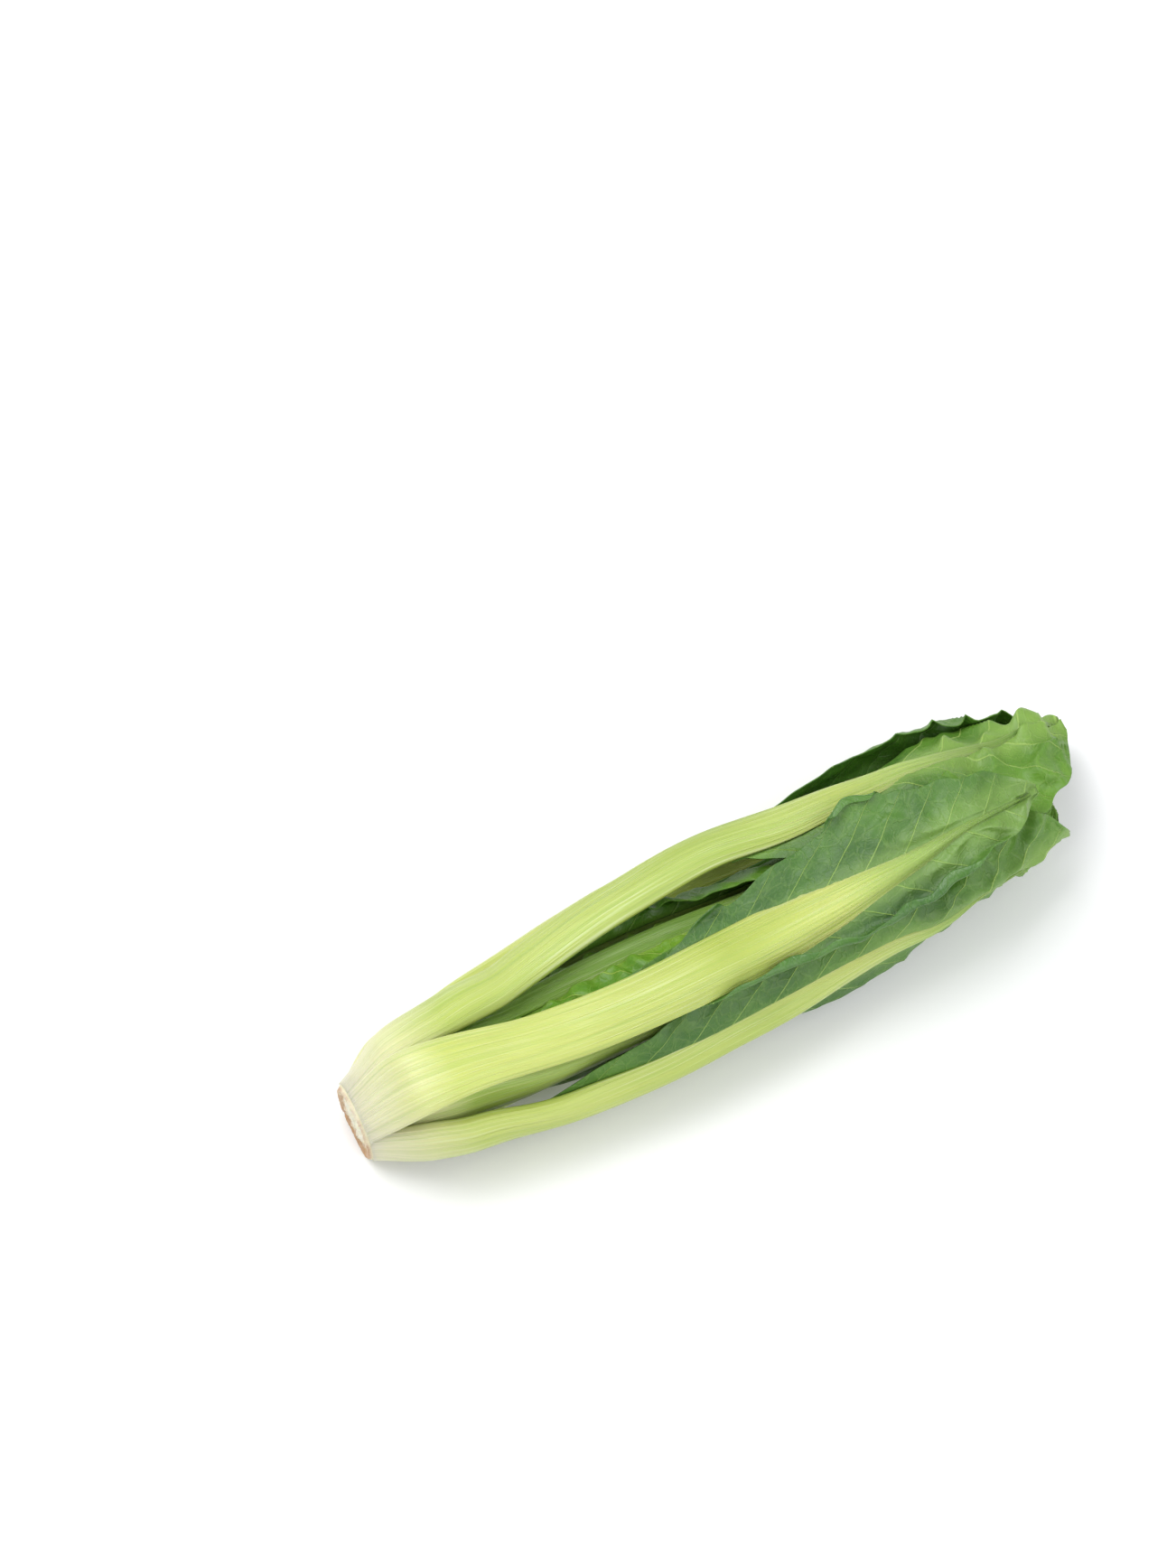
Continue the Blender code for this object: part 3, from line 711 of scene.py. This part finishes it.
def blade_mesh(leaf):
    """A blade as one sheet, its outside up, with a notch between its wings where the stalk lies open."""
    half_columns = BLADE_COLUMNS - 3 * leaf.age
    rows = rows_between(leaf.start + leaf.wing_start * leaf.length, leaf.start + BLADE_END * leaf.length)
    columns = 2 * half_columns + 1
    bm, order = grid(columns, len(rows))
    share = np.linspace(0, 1, half_columns) ** 0.9
    points = np.zeros((*order.shape, 3))
    marks = np.zeros((*order.shape, 3))
    open_rows = []
    for row, section in enumerate(rows):
        t = (section.x - leaf.start) / leaf.length
        notch = leaf.notch_at(t)
        open_rows.append(notch > LEAST_NOTCH)
        reach = min(leaf.wing_at(t), 0.42 * section.girth(leaf))
        to_tip = np.clip((1 - t) / TIP_ROUND, 0, 1)
        reach = reach * (0.12 + 0.88 * math.sqrt(1 - (1 - to_tip) ** 2))
        beside = 0.9 * leaf.stalk_width_at(t) * smooth(0, 0.02, 1 - t)
        frill = smooth(0.25, 0.6, (t - leaf.wing_start) / (1 - leaf.wing_start))
        left = max(reach * leaf.tuck, beside) * (1 - frill * notching(410 * section.x + leaf.age))
        right = max(reach, beside) * (1 - frill * notching(370 * section.x + 2.0 * leaf.age + 1.0))
        unrolled = float(smooth(0.88, 0.98, t))
        rolls = [roll_at(leaf, side, section.x) * (1 - unrolled) for side in (-1, 1)]
        left, right = left + rolls[0], right + rolls[1]
        inner = max(notch, LEAST_NOTCH)
        left_arc = -(inner + (max(left, inner) - inner) * share[::-1])
        right_arc = inner + (max(right, inner) - inner) * share
        arc = np.concatenate([left_arc, [0.0], right_arc])
        size = np.abs(arc)
        edge = np.where(arc < 0, left, right)
        flat, over_edge = rolled(size, edge, np.where(arc < 0, *rolls))
        broad = leaf.wave(section.x, arc)
        fine = 0.5 + 0.5 * np.sin(430 * section.x + 60 * size + 2.3 * leaf.age + 2 * np.sign(arc))
        over = leaf.wave_room(t, size) * (0.75 * broad + 0.25 * fine)
        over = over + leaf.tip_curl * smooth(0.75, 1.1, t) + over_edge
        near = vein_lines(arc, section.x)
        past_stalk = smooth(1.15, 2.1, size / leaf.stalk_width_at(t))
        vein = VEIN_DEPTH * smooth(0.72, 1.0, near)
        blister = BLISTER_DEPTH * (1 - near**2) * (1 - 0.8 * smooth(0.75, 1.0, size / edge))
        crumple = np.array([
            noise.fractal(Vector((90 * section.x, 90 * a, 3.0 * leaf.age)), 0.8, 2.2, 2) for a in arc
        ])
        rough = CRUMPLE * (1 + 4.5 * smooth(0.72, 0.95, t) + leaf.share)
        creased = creases(leaf, section.x, arc) * CREASE_HEIGHT * smooth(0.66, 0.90, t)
        over = over + past_stalk * (vein - blister + rough * crumple + creased)
        if leaf.age in RUFFLED_AGES:
            in_gap = smooth(0.045, 0.07, section.x) * (1 - smooth(0.12, 0.145, section.x))
            turn = 2 * math.pi * (section.x - 0.5 * size) / RUFFLE_LENGTH
            ruffle = 0.5 + 0.5 * np.sin(turn + 2.5 * crumple)
            over = over + RUFFLE_HEIGHT * in_gap * ruffle * smooth(1.0, 1.6, size / leaf.stalk_width_at(t))
        points[row] = section.points(leaf, np.sign(arc) * flat, over + SHEET)
        marks[row] = np.stack([arc, section.x + 0 * arc, size / edge], axis=-1)
    set_points(bm, order, points, marks, "leaf")
    middle = [bm.verts[order[row, half_columns]] for row in range(len(rows)) if open_rows[row]]
    bmesh.ops.delete(bm, geom=middle, context="VERTS")
    bmesh.ops.smooth_vert(
        bm, verts=bm.verts, factor=0.5, use_axis_x=True, use_axis_y=True, use_axis_z=True
    )
    bmesh.ops.reverse_faces(bm, faces=bm.faces)
    return bm


def vein_net(finish, arc, place_along, to_edge):
    """Side veins, their branches and the fine net between them, each 1 on a line and 0 off it."""
    size = abs(arc)
    wander = finish.noise(finish.vector(arc * 55, place_along * 55), 1.0, 2.0)
    side = arc.math("GREATER_THAN", 0.0)
    line = (place_along - size * VEIN_SLOPE - size * size * VEIN_BEND) / VEIN_SPACING
    line = line + side * 0.5 + (wander - 0.5) * 0.16
    near = 1 - 2 * abs(line.math("FRACT") - 0.5)
    taper = VEIN_WIDTH / VEIN_SPACING * (1.35 - to_edge)
    veins = ((near - 1) / taper + 1).step(0.0, 1.0)
    bend = finish.noise(finish.vector(arc * 240, place_along * 240), 1.0, 2.0)
    spot = finish.vector(arc + (wander - 0.5) * 0.010, place_along + (bend - 0.5) * 0.008)
    branches = finish.cells(spot, 190.0).step(0.09, 0.0)
    net = finish.cells(spot, 620.0).step(0.12, 0.0)
    return veins, branches, net


def blade_finish(leaf, name, outside):
    """One side of a blade: the outside is paler, with raised veins, the inside deep green and shinier."""
    young = leaf.share**1.3
    finish = Finish(
        name,
        Roughness=0.46 if outside else 0.36,
        Subsurface_Weight=0.12,
        Subsurface_Scale=0.0012,
        Coat_Weight=0.0 if outside else 0.1,
        Coat_Roughness=0.3,
    )
    finish.shader.inputs["Subsurface Radius"].default_value = (0.5, 1.0, 0.2)
    arc, place_along, to_edge = finish.mark("leaf")
    veins, branches, net = vein_net(finish, arc, place_along, to_edge)
    spot = finish.vector(arc, place_along, leaf.age)
    patches = finish.noise(spot, 28.0, 3.0, 0.6)

    def blend(old, new):
        return tuple(a + (b - a) * young for a, b in zip(old, new))

    if outside:
        dark = blend((0.030, 0.102, 0.011), (0.10, 0.27, 0.008))
        light = blend((0.072, 0.180, 0.022), (0.17, 0.36, 0.012))
        pale = blend((0.27, 0.42, 0.10), (0.40, 0.56, 0.08))
        bright = blend((0.110, 0.245, 0.020), (0.20, 0.42, 0.02))
    else:
        dark = blend((0.036, 0.118, 0.012), (0.07, 0.23, 0.006))
        light = blend((0.070, 0.185, 0.018), (0.12, 0.30, 0.010))
        pale = blend((0.16, 0.32, 0.06), (0.32, 0.48, 0.07))
        bright = blend((0.070, 0.190, 0.014), (0.14, 0.34, 0.012))
    colour = finish.mix(patches.step(0.35, 0.68), dark, light)
    to_tip = ((place_along - leaf.start) / leaf.length).step(0.72, 1.0)
    brightness = 0.25 if leaf.age == 0 else 1.0
    colour = finish.mix(to_tip * brightness * (0.35 + 0.5 * patches), colour, bright)
    colour = finish.mix(net * 0.07, colour, pale)
    colour = finish.mix(branches * 0.11, colour, pale)
    colour = finish.mix(veins * 0.85, colour, pale)
    by_rib = abs(arc).step(leaf.stalk_half_width * 1.3, leaf.stalk_half_width * 0.4)
    colour = finish.mix(by_rib * 0.4, colour, pale)
    finish.feed("Base Color", colour)
    way = 1.0 if outside else -1.0
    relief = 0.5 + way * (veins * 0.30 + branches * 0.14 + net * 0.06)
    finish.bump(relief, 0.0007)
    return finish.material


for leaf in leaves:
    number = leaf.age + 1
    heart_number = number - (LEAVES - HEART_LEAVES)
    if heart_number > 0:
        stalk_node, blade_node = f"heart_stalk_{heart_number}", f"heart_blade_{heart_number}"
    else:
        stalk_node, blade_node = f"stalk_{number}", f"blade_{number}"
    stalk_skin = stalk_finish(leaf, f"{stalk_node}_skin")
    add_piece(f"{stalk_node}_ribbed", stalk_mesh(leaf), [stalk_skin], stalk_node)
    sides = [
        blade_finish(leaf, f"{blade_node}_outside", True),
        blade_finish(leaf, f"{blade_node}_inside", False),
    ]
    blade = add_piece(f"{blade_node}_veined", blade_mesh(leaf), sides, blade_node)
    thickness = blade.modifiers.new("thickness", "SOLIDIFY")
    thickness.thickness = SHEET
    thickness.offset = -1.0
    thickness.material_offset = 1


# The table: a plain pale floor under soft studio light, seen from where the photograph was taken.
CAMERA_AZIMUTH = math.radians(-26.0)
CAMERA_ELEVATION = math.radians(66.0)
CAMERA_DISTANCE = 1.9
METRES_PER_PIXEL = 0.000312
PHOTO_SIZE = (1302, 1736)
FOOT_PIXEL = (390, 1240)
FLOOR_HALF_SIZE = 4.0
LAMP_DISTANCE = 1.2

floor_finish = Finish("floor_white", Roughness=0.8)
floor_finish.shader.inputs["Base Color"].default_value = (0.9, 0.9, 0.9, 1.0)
bm = bmesh.new()
bmesh.ops.create_grid(bm, x_segments=1, y_segments=1, size=FLOOR_HALF_SIZE)
floor_mesh = bpy.data.meshes.new("floor")
bm.to_mesh(floor_mesh)
bm.free()
floor_mesh.materials.append(floor_finish.material)
floor = bpy.data.objects.new("floor", floor_mesh)
bpy.context.scene.collection.objects.link(floor)

back = Vector((
    math.sin(CAMERA_AZIMUTH) * math.cos(CAMERA_ELEVATION),
    -math.cos(CAMERA_AZIMUTH) * math.cos(CAMERA_ELEVATION),
    math.sin(CAMERA_ELEVATION),
))
right = Vector((math.cos(CAMERA_AZIMUTH), math.sin(CAMERA_AZIMUTH), 0.0))
above = back.cross(right)
head_middle = 0.5 * (cad_low + cad_high)
foot = Vector((stem_low.x, 0.5 * (stem_low.y + stem_high.y), 0.5 * (stem_low.z + stem_high.z)))
aim = foot - right * (FOOT_PIXEL[0] - 0.5 * PHOTO_SIZE[0]) * METRES_PER_PIXEL
aim = aim + above * (FOOT_PIXEL[1] - 0.5 * PHOTO_SIZE[1]) * METRES_PER_PIXEL
lens = bpy.data.cameras.new("camera")
lens.sensor_fit = "AUTO"
lens.sensor_width = 36.0
lens.lens = lens.sensor_width * CAMERA_DISTANCE / (PHOTO_SIZE[1] * METRES_PER_PIXEL)
camera = bpy.data.objects.new("camera", lens)
camera.location = aim + back * CAMERA_DISTANCE
camera.rotation_euler = back.to_track_quat("Z", "Y").to_euler()
bpy.context.scene.collection.objects.link(camera)
bpy.context.scene.camera = camera


def softbox(name, direction, size, power):
    """A square lamp that shines on the head from a direction."""
    lamp = bpy.data.lights.new(name, "AREA")
    lamp.size = size
    lamp.energy = power
    lit = bpy.data.objects.new(name, lamp)
    towards = Vector(direction).normalized()
    lit.location = head_middle + towards * LAMP_DISTANCE
    lit.rotation_euler = towards.to_track_quat("Z", "Y").to_euler()
    bpy.context.scene.collection.objects.link(lit)


softbox("key", (-0.5, 0.8, 1.6), size=1.0, power=12.5)
softbox("fill", (0.6, -1.0, 1.1), size=1.2, power=9.0)
world = bpy.data.worlds.new("studio")
world.use_nodes = True
world.node_tree.nodes["Background"].inputs["Color"].default_value = (0.95, 0.97, 1.0, 1.0)
world.node_tree.nodes["Background"].inputs["Strength"].default_value = 0.6
bpy.context.scene.world = world
bpy.context.scene.view_settings.view_transform = "Standard"
